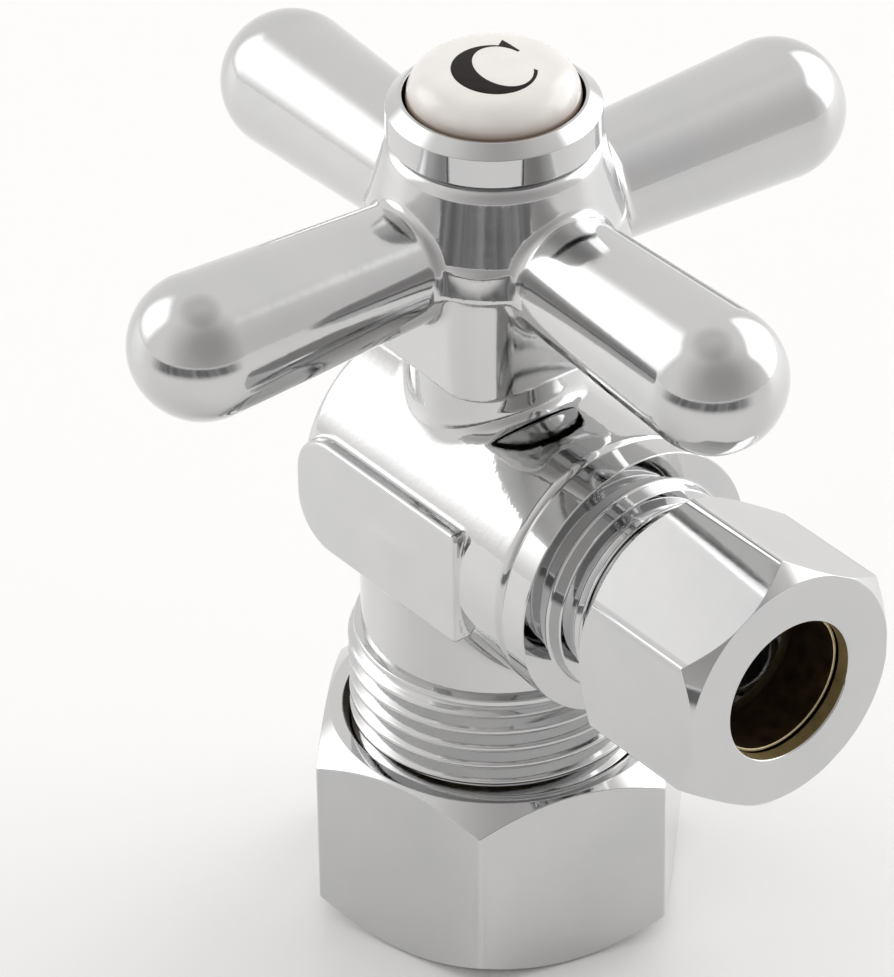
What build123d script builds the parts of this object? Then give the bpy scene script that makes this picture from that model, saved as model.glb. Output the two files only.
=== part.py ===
from build123d import *
import math
import os

# Angle stop valve: a quarter-turn ball valve with a cross handle and two compression ends.
# Millimetres. +Z is the stem axis, pointing from the supply pipe to the handle.
# +X is the outlet axis. The origin is on the stem axis, on the inlet nut's bottom face.

# ---- Inlet end: compression fitting for 5/8 in outside diameter tube ----
INLET_TUBE_R = 15.875 / 2
INLET_THREAD_R = 20.6 / 2
INLET_PITCH = 25.4 / 18
INLET_THREAD_TOP = 21.0
INLET_NUT_FLATS = 23.8
INLET_NUT_H = 14.3
INLET_MOUTH_Z = 5.4
INLET_STOP_Z = 17.5

# ---- Outlet end: compression fitting for 3/8 in outside diameter tube ----
OUTLET_Z = 32.0
OUTLET_TUBE_R = 9.525 / 2
OUTLET_THREAD_R = 14.28 / 2
OUTLET_PITCH = 25.4 / 24
OUTLET_NUT_FLATS = 16.5
OUTLET_NUT_START = 18.45
OUTLET_FACE = 29.7
ADAPTER_END = 25.2
TUBE_STOP_X = 17.0

# ---- Body ----
BARREL_R = 9.38
BARREL_BACK = -9.55
BARREL_FRONT = 11.9
NECK_R = 9.4
BOSS_R = 5.75
BOSS_TOP = 46.0
WRENCH_FLATS = 19.05
PAD_LEFT, PAD_RIGHT = -9.75, 7.35
PAD_BOTTOM, PAD_TOP = 27.4, 36.0

# ---- Ball and seats ----
BALL_R = 5.6
CHAMBER_R = 6.0
CHAMBER_BACK = -6.85
PORT_R = 3.0
WATERWAY_R = 3.6
SEAT_BORE_R = 3.1
SEAT_INNER_X = 3.4
SEAT_OUTER_X = 6.8

# ---- Outlet adapter, screwed into the body ----
ADAPTER_THREAD_R = 7.0
ADAPTER_THREAD_START = 6.9
WASHER_THICKNESS = 0.3
COLLAR_R = 9.45
COLLAR_FRONT = 14.2
SHANK_R = 7.45

# ---- Stem ----
STEM_R = 3.2
STEM_BORE_R = 3.26
STEM_FLANGE_R = 3.9
STEM_FLANGE_Z = 38.3
STEM_SHOULDER_Z = 39.6
STEM_TOP = 54.6
SPLINE_TEETH = 16
SPLINE_OUTER_R, SPLINE_INNER_R = 3.0, 2.7
SPLINE_START = 47.8
O_RING_SECTION_R = 0.6
O_RING_HEIGHTS = {"stem_o_ring_lower": 42.0, "stem_o_ring_upper": 44.4}
TANG_BOTTOM = 36.0
TANG_HALF_LENGTH = 3.05
TANG_HALF_WIDTH = 1.1

# ---- Quarter-turn stop: a keyed washer whose tab runs between the ends of a raised lug ----
STOP_TAB_ANGLE = 45.0
STOP_TAB_HALF = 12.0
STOP_CLEARANCE = 3.0
STOP_WASHER_Z = 46.35
STOP_WASHER_H = 0.9
STOP_TAB_R = 5.35
STOP_DISC_R = 4.0

# ---- Handle ----
HANDLE_TURN = -2.0
ARM_Z = 52.8
ARM_ROOT_R, ARM_TIP_R = 4.15, 4.87
ARM_ROOT_X = 6.0
ARM_TIPS = (22.7, 23.2)
HUB_TOP = 59.84
HUB_TOP_R = 7.1
HUB_FLARE_R = 8.6
HUB_FLARE_Z = 53.6
SKIRT_HALF = 7.0
SKIRT_CORNER_R = 3.2
SKIRT_BOTTOM = 44.1
SKIRT_DRAFT = 1.4
SKIRT_BORE_R = 6.05
WEB_BOTTOM, WEB_TOP = 54.7, 56.2

# ---- Index button ----
RING_R = 7.05
RING_BOTTOM = 59.96
RING_BEVEL_Z = 62.04
RING_TOP = 62.83
RING_TOP_R = 6.16
POCKET_R = 5.92
POCKET_FLOOR = 60.4
SPIGOT_R = 5.5
DISC_TOP = 65.0
LETTER_FLOOR = 64.5
LETTER_TURN = 76.8

FIT = 0.04


def turned(points):
    """Solid of revolution about Z from (radius, height) corners."""
    return revolve(Plane.XZ * make_face(Polyline(*points, close=True)), Axis.Z)


def tube(outer_r, inner_r, bottom, top):
    """Plain ring about Z."""
    return turned([(inner_r, bottom), (outer_r, bottom), (outer_r, top), (inner_r, top)])


def rod(radius, bottom, top):
    """Plain cylinder about Z."""
    return turned([(0, bottom), (radius, bottom), (radius, top), (0, top)])


def to_outlet(shape):
    """Carry a shape drawn about Z onto the outlet axis, with its height along +X."""
    return Pos(0, 0, OUTLET_Z) * Rot(0, 90, 0) * shape


def thread_profile(crest_r, pitch, bottom, top):
    """Corners of a V thread drawn as parallel ridges, from bottom to top."""
    depth = 0.6 * pitch
    count = int((top - bottom) / pitch)
    start = top - count * pitch
    corners = []
    for ridge in range(count):
        foot = start + ridge * pitch
        corners += [
            (crest_r - depth, foot),
            (crest_r - depth, foot + 0.1 * pitch),
            (crest_r, foot + 0.45 * pitch),
            (crest_r, foot + 0.6 * pitch),
            (crest_r - depth, foot + 0.95 * pitch),
        ]
    return corners


def chamfered_hexagon(flats, bottom, top, face_r, drop, first_corner):
    """Hexagonal nut blank with both ends turned to a chamfer."""
    corner_r = flats / math.sqrt(3)
    outline = Rot(0, 0, first_corner) * Polygon(
        *[(corner_r * math.cos(k * math.pi / 3), corner_r * math.sin(k * math.pi / 3)) for k in range(6)],
        align=None,
    )
    prism = Pos(0, 0, bottom) * extrude(outline, top - bottom)
    reach = corner_r + 0.1
    return prism & turned([
        (0, bottom), (face_r, bottom), (reach, bottom + drop),
        (reach, top - drop), (face_r, top), (0, top),
    ])


def sector(outer_r, from_angle, to_angle, bottom, top):
    """Pie slice about Z, between two angles in degrees."""
    steps = 12
    edge = [
        (2 * outer_r * math.cos(math.radians(a)), 2 * outer_r * math.sin(math.radians(a)))
        for a in [from_angle + (to_angle - from_angle) * k / steps for k in range(steps + 1)]
    ]
    wedge = Pos(0, 0, bottom) * extrude(Polygon((0, 0), *edge, align=None), top - bottom)
    return wedge & rod(outer_r, bottom, top)


# ---------------------------------------------------------------- body

def body_shell():
    """Outside of the forged body: threaded inlet, neck, barrel, boss and wrench pads."""
    inlet = turned(
        [(0, INLET_MOUTH_Z), (INLET_THREAD_R - 0.9, INLET_MOUTH_Z)]
        + thread_profile(INLET_THREAD_R, INLET_PITCH, INLET_MOUTH_Z + 0.2, INLET_THREAD_TOP)
        + [(NECK_R, INLET_THREAD_TOP), (NECK_R, OUTLET_Z - 4), (0, OUTLET_Z - 4)]
    )
    rim = 0.6
    barrel = to_outlet(turned([
        (0, BARREL_BACK), (BARREL_R - rim, BARREL_BACK), (BARREL_R, BARREL_BACK + rim),
        (BARREL_R, BARREL_FRONT), (0, BARREL_FRONT),
    ]))
    boss = rod(BOSS_R, OUTLET_Z, BOSS_TOP)
    return inlet + barrel + boss + wrench_pad(-1) + wrench_pad(1)


def wrench_pad(side):
    """Flat raised pad on one side of the barrel, rounded at its back end."""
    round_r = 3.4
    width, height = PAD_RIGHT - PAD_LEFT, PAD_TOP - PAD_BOTTOM
    middle = ((PAD_LEFT + PAD_RIGHT) / 2, (PAD_BOTTOM + PAD_TOP) / 2)
    outline = Pos(*middle) * RectangleRounded(width, height, round_r)
    square_end = Pos(middle[0] + width / 4, middle[1]) * Rectangle(width / 2, height)
    inner_y = 6.5
    depth = WRENCH_FLATS / 2 - inner_y
    start = -WRENCH_FLATS / 2 if side < 0 else inner_y
    return Pos(0, start + depth, 0) * extrude(Plane.XZ * (outline + square_end), depth)


def valve_body():
    shell = body_shell()
    socket = turned([
        (0, INLET_MOUTH_Z - 1), (9.3, INLET_MOUTH_Z - 1), (9.3, INLET_MOUTH_Z),
        (8.2, 7.8), (INLET_TUBE_R + 0.06, 7.8), (INLET_TUBE_R + 0.06, INLET_STOP_Z),
        (0, INLET_STOP_Z),
    ])
    waterway = rod(WATERWAY_R, INLET_STOP_Z - 1, OUTLET_Z)
    chamber = to_outlet(turned([
        (0, CHAMBER_BACK), (CHAMBER_R, CHAMBER_BACK), (CHAMBER_R, ADAPTER_THREAD_START),
        (ADAPTER_THREAD_R + FIT, ADAPTER_THREAD_START), (ADAPTER_THREAD_R + FIT, BARREL_FRONT + 1),
        (0, BARREL_FRONT + 1),
    ]))
    stem_way = turned([
        (0, OUTLET_Z), (STEM_FLANGE_R + 0.15, OUTLET_Z), (STEM_FLANGE_R + 0.15, 40.3),
        (STEM_BORE_R, 40.3), (STEM_BORE_R, BOSS_TOP + 2), (0, BOSS_TOP + 2),
    ])
    return shell - socket - waterway - chamber - stem_way + stop_lug()


def stop_lug():
    """Raised ring segment on the boss that the stop washer's tab meets at both ends of its travel."""
    free_half = 45 + STOP_TAB_HALF + STOP_CLEARANCE
    lug_ring = tube(BOSS_R, STOP_DISC_R + 0.35, BOSS_TOP - 0.2, STOP_WASHER_Z + STOP_WASHER_H)
    return lug_ring - sector(BOSS_R + 1, -free_half, free_half, BOSS_TOP - 1, BOSS_TOP + 3)


# ---------------------------------------------------------------- ball, seats and stem

def ball():
    centre = Pos(0, 0, OUTLET_Z)
    sphere = centre * Sphere(BALL_R)
    inlet_port = rod(PORT_R, OUTLET_Z - BALL_R - 1, OUTLET_Z)
    outlet_port = to_outlet(rod(PORT_R, 0, BALL_R + 1))
    elbow = centre * Sphere(PORT_R)
    slot = Pos(0, 0, OUTLET_Z + BALL_R) * Box(2 * BALL_R, 2 * (TANG_HALF_WIDTH + FIT), 3.4)
    return sphere - inlet_port - outlet_port - elbow - slot


def seat(direction):
    """Ring with a spherical face that carries the ball. Direction is +1 at the outlet, -1 at the back."""
    contact_r = BALL_R + 0.08
    outer_r = CHAMBER_R - FIT

    def on_ball(height):
        return (math.sqrt(contact_r ** 2 - height ** 2), height)

    throat_height = math.sqrt(contact_r ** 2 - SEAT_BORE_R ** 2)
    lip, throat = on_ball(SEAT_INNER_X), (SEAT_BORE_R, throat_height)
    cup = ThreePointArc(lip, on_ball((SEAT_INNER_X + throat_height) / 2), throat)
    walls = Polyline(throat, (SEAT_BORE_R, SEAT_OUTER_X), (outer_r, SEAT_OUTER_X), (outer_r, SEAT_INNER_X), lip)
    ring = revolve(Plane.XZ * make_face(cup.edges() + walls.edges()), Axis.Z)
    return Pos(0, 0, OUTLET_Z) * Rot(0, 90 * direction, 0) * ring


def stem():
    shaft_corners = [
        (0, STEM_FLANGE_Z), (STEM_FLANGE_R, STEM_FLANGE_Z),
        (STEM_FLANGE_R, STEM_SHOULDER_Z), (STEM_R, STEM_SHOULDER_Z),
    ]
    groove_r = STEM_BORE_R - 2 * O_RING_SECTION_R
    for height in O_RING_HEIGHTS.values():
        low, high = height - O_RING_SECTION_R - 0.1, height + O_RING_SECTION_R + 0.1
        shaft_corners += [(STEM_R, low), (groove_r, low), (groove_r, high), (STEM_R, high)]
    shaft_corners += [(STEM_R, 46.1), (0, 46.1)]
    tang_h = STEM_FLANGE_Z - TANG_BOTTOM
    tang = Pos(0, 0, TANG_BOTTOM + tang_h / 2) * Box(2 * TANG_HALF_LENGTH, 2 * TANG_HALF_WIDTH, tang_h)
    key = keyed_outline(0, 46.0, SPLINE_START)
    spline = splined_rod(0, SPLINE_START, STEM_TOP)
    screw_hole = rod(2.04, 48.5, STEM_TOP + 1)
    return turned(shaft_corners) + tang + key + spline - screw_hole


def keyed_outline(growth, bottom, top):
    """Round bar with two flats, which carries the stop washer."""
    flats = Pos(0, 0, (bottom + top) / 2) * Box(8, 2 * (2.4 + growth), top - bottom)
    return rod(3.0 + growth, bottom, top) & flats


def splined_rod(growth, bottom, top):
    """Bar with fine pointed splines, which drives the handle."""
    corners = []
    for k in range(2 * SPLINE_TEETH):
        radius = (SPLINE_OUTER_R if k % 2 == 0 else SPLINE_INNER_R) + growth
        angle = math.pi * k / SPLINE_TEETH
        corners.append((radius * math.cos(angle), radius * math.sin(angle)))
    return Pos(0, 0, bottom) * extrude(Polygon(*corners, align=None), top - bottom)


def stem_o_ring(height):
    return Pos(0, 0, height) * Torus(STEM_BORE_R - FIT / 2 - O_RING_SECTION_R, O_RING_SECTION_R - FIT / 2)


def thrust_washer():
    return tube(STEM_FLANGE_R - 0.05, STEM_R + 0.03, STEM_SHOULDER_Z, 40.2)


def stop_washer():
    low, high = STOP_WASHER_Z, STOP_WASHER_Z + STOP_WASHER_H
    tab = sector(STOP_TAB_R, STOP_TAB_ANGLE - STOP_TAB_HALF, STOP_TAB_ANGLE + STOP_TAB_HALF, low, high)
    return rod(STOP_DISC_R, low, high) + tab - keyed_outline(0.03, low - 1, high + 1)


# ---------------------------------------------------------------- outlet end

def outlet_adapter():
    """Threaded insert that holds the ball in the body and carries the outlet thread."""
    back = BARREL_FRONT + WASHER_THICKNESS
    outside = turned(
        [(0, ADAPTER_THREAD_START + FIT), (ADAPTER_THREAD_R - 0.6, ADAPTER_THREAD_START + FIT),
         (ADAPTER_THREAD_R, ADAPTER_THREAD_START + 0.6), (ADAPTER_THREAD_R, back),
         (COLLAR_R, back), (COLLAR_R, COLLAR_FRONT), (SHANK_R, COLLAR_FRONT + 0.2),
         (SHANK_R, COLLAR_FRONT + 1.2), (OUTLET_THREAD_R - 0.66, COLLAR_FRONT + 1.6)]
        + thread_profile(OUTLET_THREAD_R, OUTLET_PITCH, COLLAR_FRONT + 1.7, ADAPTER_END - 0.2)
        + [(OUTLET_THREAD_R - 0.66, ADAPTER_END), (0, ADAPTER_END)]
    )
    socket_r = OUTLET_TUBE_R + 0.06
    inside = turned([
        (0, 0), (WATERWAY_R, 0), (WATERWAY_R, TUBE_STOP_X), (socket_r, TUBE_STOP_X),
        (socket_r, 23.6), (4.95, 23.6), (5.9, ADAPTER_END), (5.9, ADAPTER_END + 1), (0, ADAPTER_END + 1),
    ])
    return to_outlet(outside - inside)


def adapter_washer():
    return to_outlet(tube(COLLAR_R - 0.5, ADAPTER_THREAD_R + 0.03, BARREL_FRONT, BARREL_FRONT + WASHER_THICKNESS))


def outlet_ferrule():
    bore_r = OUTLET_TUBE_R + 0.08
    return to_outlet(turned([
        (bore_r, 24.2), (5.05, 24.2), (5.5, 25.7), (5.5, 26.4), (5.05, 28.1), (bore_r, 28.1),
    ]))


def outlet_nut():
    blank = chamfered_hexagon(OUTLET_NUT_FLATS, OUTLET_NUT_START, OUTLET_FACE, 8.27, 1.35, -1)
    thread_r = OUTLET_THREAD_R + 0.06
    inside = turned([
        (0, OUTLET_NUT_START - 1), (7.75, OUTLET_NUT_START - 1), (7.75, OUTLET_NUT_START),
        (thread_r, OUTLET_NUT_START + 0.7), (thread_r, 27.2), (5.8, 27.9), (4.98, 28.7),
        (4.98, OUTLET_FACE + 1), (0, OUTLET_FACE + 1),
    ])
    return to_outlet(blank - inside)


# ---------------------------------------------------------------- inlet end

def inlet_ferrule():
    bore_r = INLET_TUBE_R + 0.08
    return turned([
        (bore_r, 3.5), (8.35, 3.5), (8.75, 4.6), (8.75, 5.4), (8.3, 7.0), (bore_r, 7.0),
    ])


def inlet_nut():
    blank = chamfered_hexagon(INLET_NUT_FLATS, 0, INLET_NUT_H, 11.7, 1.75, 15)
    thread_r = INLET_THREAD_R + 0.06
    inside = turned([
        (0, -1), (INLET_TUBE_R + 0.21, -1), (INLET_TUBE_R + 0.21, 3.0), (9.6, 4.4),
        (thread_r, 4.9), (thread_r, INLET_NUT_H - 1.0), (10.8, INLET_NUT_H), (10.8, INLET_NUT_H + 1),
        (0, INLET_NUT_H + 1),
    ])
    return blank - inside


# ---------------------------------------------------------------- handle

def arm(tip):
    """One arm along +X: a slightly swelling bar with a tangent round end centred at tip."""
    slope = math.asin((ARM_TIP_R - ARM_ROOT_R) / (tip - ARM_ROOT_X))
    meet = (ARM_TIP_R * math.cos(slope), tip - ARM_TIP_R * math.sin(slope))
    side = Polyline((0, tip + ARM_TIP_R), (0, ARM_ROOT_X), (ARM_ROOT_R, ARM_ROOT_X), meet)
    end = ThreePointArc(
        meet,
        (ARM_TIP_R * math.sin(math.pi / 4), tip + ARM_TIP_R * math.cos(math.pi / 4)),
        (0, tip + ARM_TIP_R),
    )
    bar = revolve(Plane.XZ * make_face(side.edges() + end.edges()), Axis.Z)
    return Pos(0, 0, ARM_Z) * Rot(0, 90, 0) * bar


def skirt():
    """Square lower hub with round corners between the arms, narrowing slightly downwards."""
    outline = RectangleRounded(2 * SKIRT_HALF, 2 * SKIRT_HALF, SKIRT_CORNER_R)
    return Pos(0, 0, HUB_FLARE_Z) * extrude(outline, -(HUB_FLARE_Z - SKIRT_BOTTOM), taper=SKIRT_DRAFT)


def handle():
    shoulder = 0.7
    hub = turned([
        (0, HUB_FLARE_Z - 1.5), (HUB_FLARE_R - 1.2, HUB_FLARE_Z - 1.5), (HUB_FLARE_R, HUB_FLARE_Z),
        (HUB_TOP_R + 0.15, HUB_TOP - shoulder), (HUB_TOP_R - 0.1, HUB_TOP - 0.25),
        (HUB_TOP_R - 0.45, HUB_TOP), (0, HUB_TOP),
    ])
    cross = hub + skirt()
    for quarter in range(4):
        cross += Rot(0, 0, 90 * quarter) * arm(ARM_TIPS[quarter % 2])
    boss_room = rod(SKIRT_BORE_R, SKIRT_BOTTOM - 1, SPLINE_START)
    broach = splined_rod(FIT, SPLINE_START - 1, WEB_BOTTOM)
    head_room = turned([
        (0, WEB_BOTTOM - 1), (2.15, WEB_BOTTOM - 1), (2.15, WEB_TOP), (4.4, WEB_TOP), (4.4, 57.2),
        (SPIGOT_R + FIT, 57.2), (SPIGOT_R + FIT, HUB_TOP + 1), (0, HUB_TOP + 1),
    ])
    return Rot(0, 0, HANDLE_TURN) * (cross - boss_room) - broach - head_room


def screw_washer():
    return tube(3.5, 2.15, WEB_TOP, WEB_TOP + 0.7)


def handle_screw():
    head_bottom = WEB_TOP + 0.7
    body = turned([
        (0, 49.0), (1.6, 49.0), (2.0, 49.4), (2.0, head_bottom), (3.4, head_bottom),
        (3.4, head_bottom + 1.1), (2.6, head_bottom + 1.9), (0, head_bottom + 1.9),
    ])
    for turn in (0, 90):
        body -= Rot(0, 0, turn) * (Pos(0, 0, head_bottom + 1.6) * Box(3.6, 0.8, 1.6))
    return body


# ---------------------------------------------------------------- index button

def index_ring():
    """Bevelled ring with a floor and a hollow spigot that screws into the hub."""
    return turned([
        (4.5, 57.5), (SPIGOT_R, 57.5), (SPIGOT_R, RING_BOTTOM), (RING_R, RING_BOTTOM),
        (RING_R, RING_BEVEL_Z), (RING_TOP_R, RING_TOP), (POCKET_R, RING_TOP),
        (POCKET_R, POCKET_FLOOR), (0, POCKET_FLOOR), (0, RING_BOTTOM - 0.3), (4.5, RING_BOTTOM - 0.3),
    ])


def dome(lift):
    """Pillow-shaped disc; lift raises its top a little."""
    foot, waist, edge = (5.4, POCKET_FLOOR), (5.72, 62.4), (5.5, 63.52 + lift)
    crown_rim_r, crown_h = 4.1, 0.284
    crown_r = (crown_rim_r ** 2 + crown_h ** 2) / (2 * crown_h)
    peak = DISC_TOP + lift
    half = crown_rim_r / 2
    middle = (half, peak - crown_r + math.sqrt(crown_r ** 2 - half ** 2))
    rim = (crown_rim_r, peak - crown_h)
    lines = [
        ThreePointArc(foot, waist, edge),
        ThreePointArc(edge, (5.05, 64.2355 + lift), rim),
        ThreePointArc(rim, middle, (0, peak)),
        Polyline((0, peak), (0, POCKET_FLOOR), foot),
    ]
    return revolve(Plane.XZ * make_face([edge for line in lines for edge in line.edges()]), Axis.Z)


def letter_bar():
    """Upright bar in the outline of a plain serif C."""
    bowl = Pos(-0.2, -0.52) * Ellipse(2.75, 2.96) - Pos(0.45, -0.4) * Ellipse(1.83, 2.6)
    mouth = Polygon((0.3, -0.5), (4.8, -3.0), (4.8, 5.6), align=None)
    serif = Polygon((1.1, 1.95), (2.2, 0.8), (1.9, 2.5), align=None)
    outline = bowl - mouth + serif
    return Pos(0, 0, LETTER_FLOOR) * extrude(Rot(0, 0, LETTER_TURN) * outline, 2)


def index_letter():
    return dome(0.02) & letter_bar()


def index_disc():
    return dome(0) - letter_bar()


PARTS = {
    "valve_body": valve_body,
    "ball": ball,
    "outlet_seat": lambda: seat(1),
    "back_seat": lambda: seat(-1),
    "stem": stem,
    "stem_thrust_washer": thrust_washer,
    "stem_o_ring_lower": lambda: stem_o_ring(O_RING_HEIGHTS["stem_o_ring_lower"]),
    "stem_o_ring_upper": lambda: stem_o_ring(O_RING_HEIGHTS["stem_o_ring_upper"]),
    "stop_washer": stop_washer,
    "outlet_adapter": outlet_adapter,
    "adapter_washer": adapter_washer,
    "outlet_ferrule": outlet_ferrule,
    "outlet_nut": outlet_nut,
    "inlet_ferrule": inlet_ferrule,
    "inlet_nut": inlet_nut,
    "handle": handle,
    "screw_washer": screw_washer,
    "handle_screw": handle_screw,
    "index_ring": index_ring,
    "index_disc": index_disc,
    "index_letter": index_letter,
}

os.makedirs("parts", exist_ok=True)
for node, make in PARTS.items():
    export_step(make(), f"parts/{node}.step")
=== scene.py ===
import math

import bpy
import numpy as np
from mathutils import Matrix, Vector


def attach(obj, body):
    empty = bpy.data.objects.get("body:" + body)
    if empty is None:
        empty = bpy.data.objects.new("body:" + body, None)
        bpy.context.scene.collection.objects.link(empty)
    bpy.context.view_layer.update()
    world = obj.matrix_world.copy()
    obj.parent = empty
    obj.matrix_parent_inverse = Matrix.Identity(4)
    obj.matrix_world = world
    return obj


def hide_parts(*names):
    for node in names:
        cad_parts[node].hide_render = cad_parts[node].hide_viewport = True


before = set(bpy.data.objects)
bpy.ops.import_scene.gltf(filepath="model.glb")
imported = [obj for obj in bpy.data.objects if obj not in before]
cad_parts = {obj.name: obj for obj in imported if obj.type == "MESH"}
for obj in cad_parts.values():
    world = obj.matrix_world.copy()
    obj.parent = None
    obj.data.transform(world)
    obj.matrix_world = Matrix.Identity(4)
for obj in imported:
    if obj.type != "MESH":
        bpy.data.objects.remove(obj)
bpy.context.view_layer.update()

# Shapes are worked out in millimetres in the frame's own axes: Z is the stem, X the outlet.
MM = 0.001
OUTLET_Z = 32.0

# ---------------------------------------------------------------- mesh building


def weld(points, normals, faces, grain=1e-5):
    """Merges points that coincide and drops faces that collapse."""
    keys = np.round(points / grain).astype(np.int64)
    _, first, lookup = np.unique(keys, axis=0, return_index=True, return_inverse=True)
    lookup = lookup.reshape(-1)
    kept = []
    for face in lookup[faces]:
        corners = [c for k, c in enumerate(face) if c != face[k - 1]]
        if len(set(corners)) >= 3:
            kept.append(corners)
    return points[first], normals[first], kept


def averaged_normals(points, faces):
    """Area-weighted normal at each point."""
    total = np.zeros_like(points)
    corners = np.array([face[:3] + [face[-1]] for face in faces])
    a, b, c, d = (points[corners[:, k]] for k in range(4))
    across = np.cross(c - a, d - b)
    collapsed = np.linalg.norm(across, axis=1)[:, None] <= 1e-12
    across = np.where(collapsed, np.cross(b - a, c - a), across)
    for k in range(4):
        np.add.at(total, corners[:, k], across)
    return total / np.maximum(np.linalg.norm(total, axis=1), 1e-12)[:, None]


def make_piece(name, body, shape, material, replaces=(), place=None):
    """A smooth mesh piece with exact normals, riding on a body.

    shape is its points in millimetres, their normals, and its faces."""
    points, normals, faces = shape
    if place is not None:
        turn = np.array(place.to_3x3())
        points = points @ turn.T + np.array(place.translation)
        normals = normals @ turn.T
    mesh = bpy.data.meshes.new(name)
    mesh.from_pydata((points * MM).tolist(), [], [[int(c) for c in f] for f in faces])
    mesh.validate()
    mesh.polygons.foreach_set("use_smooth", [True] * len(mesh.polygons))
    if len(mesh.vertices) == len(normals):
        mesh.normals_split_custom_set_from_vertices(normals.tolist())
    mesh.materials.append(material)
    piece = bpy.data.objects.new(name, mesh)
    bpy.context.scene.collection.objects.link(piece)
    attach(piece, body)
    if replaces:
        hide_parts(*replaces)
    return piece


def paint(piece, material, test):
    """Gives the faces whose centre in millimetres passes the test another material."""
    piece.data.materials.append(material)
    slot = len(piece.data.materials) - 1
    for face in piece.data.polygons:
        if test(face.center / MM):
            face.material_index = slot


def rounded_path(corners, closed=True, steps=4):
    """Points and unit tangents along (radius, height, fillet) corners, each corner rounded."""
    spots = [np.array(c[:2], float) for c in corners]
    points, tangents = [], []
    for k, corner in enumerate(corners):
        here = spots[k]
        if not closed and k in (0, len(corners) - 1):
            ends = (here, spots[1]) if k == 0 else (spots[-2], here)
            points.append(here)
            tangents.append((ends[1] - ends[0]) / np.linalg.norm(ends[1] - ends[0]))
            continue
        into, out = here - spots[k - 1], spots[(k + 1) % len(spots)] - here
        in_length, out_length = np.linalg.norm(into), np.linalg.norm(out)
        into, out = into / in_length, out / out_length
        turn = math.atan2(into[0] * out[1] - into[1] * out[0], float(into @ out))
        half = max(abs(math.tan(turn / 2)), 1e-6)
        reach = min(corner[2] * half, 0.45 * in_length, 0.45 * out_length)
        radius = reach / half
        side = np.array([-into[1], into[0]]) * (1 if turn > 0 else -1)
        centre = here - into * reach + side * radius
        for step in range(steps + 1):
            c, s = math.cos(turn * step / steps), math.sin(turn * step / steps)
            swing = np.array([[c, -s], [s, c]])
            points.append(centre - swing @ side * radius)
            tangents.append(swing @ into)
    return np.array(points), np.array(tangents)


def round_steps(count):
    """Evenly spaced angles of a full turn."""
    return np.arange(count) * 2 * math.pi / count


def sweep_round(profile_at, angles, closed=True):
    """Points, normals and faces of a profile carried round Z.

    The profile may change with the angle."""
    rows, lean = [], []
    for angle in angles:
        points, tangents = profile_at(angle)
        behind, ahead = profile_at(angle - 1e-5)[0], profile_at(angle + 1e-5)[0]
        drift = (ahead - behind) / 2e-5
        c, s = math.cos(angle), math.sin(angle)
        radius = np.maximum(points[:, 0], 1e-4)
        along = np.stack([drift[:, 0] * c - radius * s, drift[:, 0] * s + radius * c, drift[:, 1]], 1)
        up = np.stack([tangents[:, 0] * c, tangents[:, 0] * s, tangents[:, 1]], 1)
        normal = np.cross(along, up)
        lean.append(normal / np.linalg.norm(normal, axis=1)[:, None])
        rows.append(np.stack([points[:, 0] * c, points[:, 0] * s, points[:, 1]], 1))
    count, length = len(angles), len(rows[0])
    j, i = np.meshgrid(np.arange(count), np.arange(length if closed else length - 1), indexing="ij")
    j, i = j.ravel(), i.ravel()
    nj, ni = (j + 1) % count, (i + 1) % length
    faces = np.stack([j * length + i, nj * length + i, nj * length + ni, j * length + ni], 1)
    return weld(np.concatenate(rows), np.concatenate(lean), faces)


def turned(corners, closed=True, segments=192, steps=4):
    """Plain turned shape about Z."""
    path = rounded_path(corners, closed, steps)
    return sweep_round(lambda angle: path, round_steps(segments), closed)


def hexagon_radius(angle, flats, corner_round, first_corner):
    """Distance from the axis to a hexagon with rounded corners, at an angle."""
    sixth = math.pi / 3
    off_corner = abs((angle - first_corner + sixth / 2) % sixth - sixth / 2)
    side = flats / 2 / math.cos(sixth / 2 - off_corner)
    centre = (flats / 2 - corner_round) / math.cos(sixth / 2)
    aside = centre * math.sin(off_corner)
    if aside > corner_round:
        return side
    return min(side, centre * math.cos(off_corner) + math.sqrt(corner_round ** 2 - aside ** 2))


def hexagon_angles(first_corner, corner_round, flats):
    """Angles round a hexagon, close together at its corners."""
    sixth = math.pi / 3
    spread = 0.5 * corner_round / (flats / math.sqrt(3)) * 1.25
    near = [spread * k / 5 for k in range(-5, 6)]
    flat = list(np.linspace(spread, sixth - spread, 30)[1:-1])
    return [first_corner + corner * sixth + a for corner in range(6) for a in near + flat]


def nut(flats, bottom, top, face_r, drop, first_corner, bore, edge, corner_round):
    """Hexagon nut with a chamfer at both ends.

    The chamfer runs from face_r on the end faces and drops by drop at the corners. bore lists
    the inner corners from top to bottom."""
    reach = flats / math.sqrt(3) + 0.1

    def profile_at(angle):
        side = hexagon_radius(angle, flats, corner_round, first_corner)
        fall = drop * max(side - face_r, 0.02) / (reach - face_r)
        outer = [
            (min(face_r, side - 0.02), bottom, edge), (side, bottom + fall, edge),
            (side, top - fall, edge), (min(face_r, side - 0.02), top, edge),
        ]
        return rounded_path(outer + bore)

    return sweep_round(profile_at, hexagon_angles(first_corner, corner_round, flats))


# One pitch of a thread: share of the pitch, and share of the rise from root to crest.
THREAD_FORM = [
    (0.0, 0), (0.08, 0), (0.14, 0.1), (0.36, 0.88), (0.42, 1),
    (0.56, 1), (0.62, 0.88), (0.88, 0.1), (0.94, 0),
]
# The thread grows over this many pitches at its start, and fades over this many at its stop.
THREAD_LEAD, THREAD_RUN_OUT = 0.8, 0.4


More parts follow.
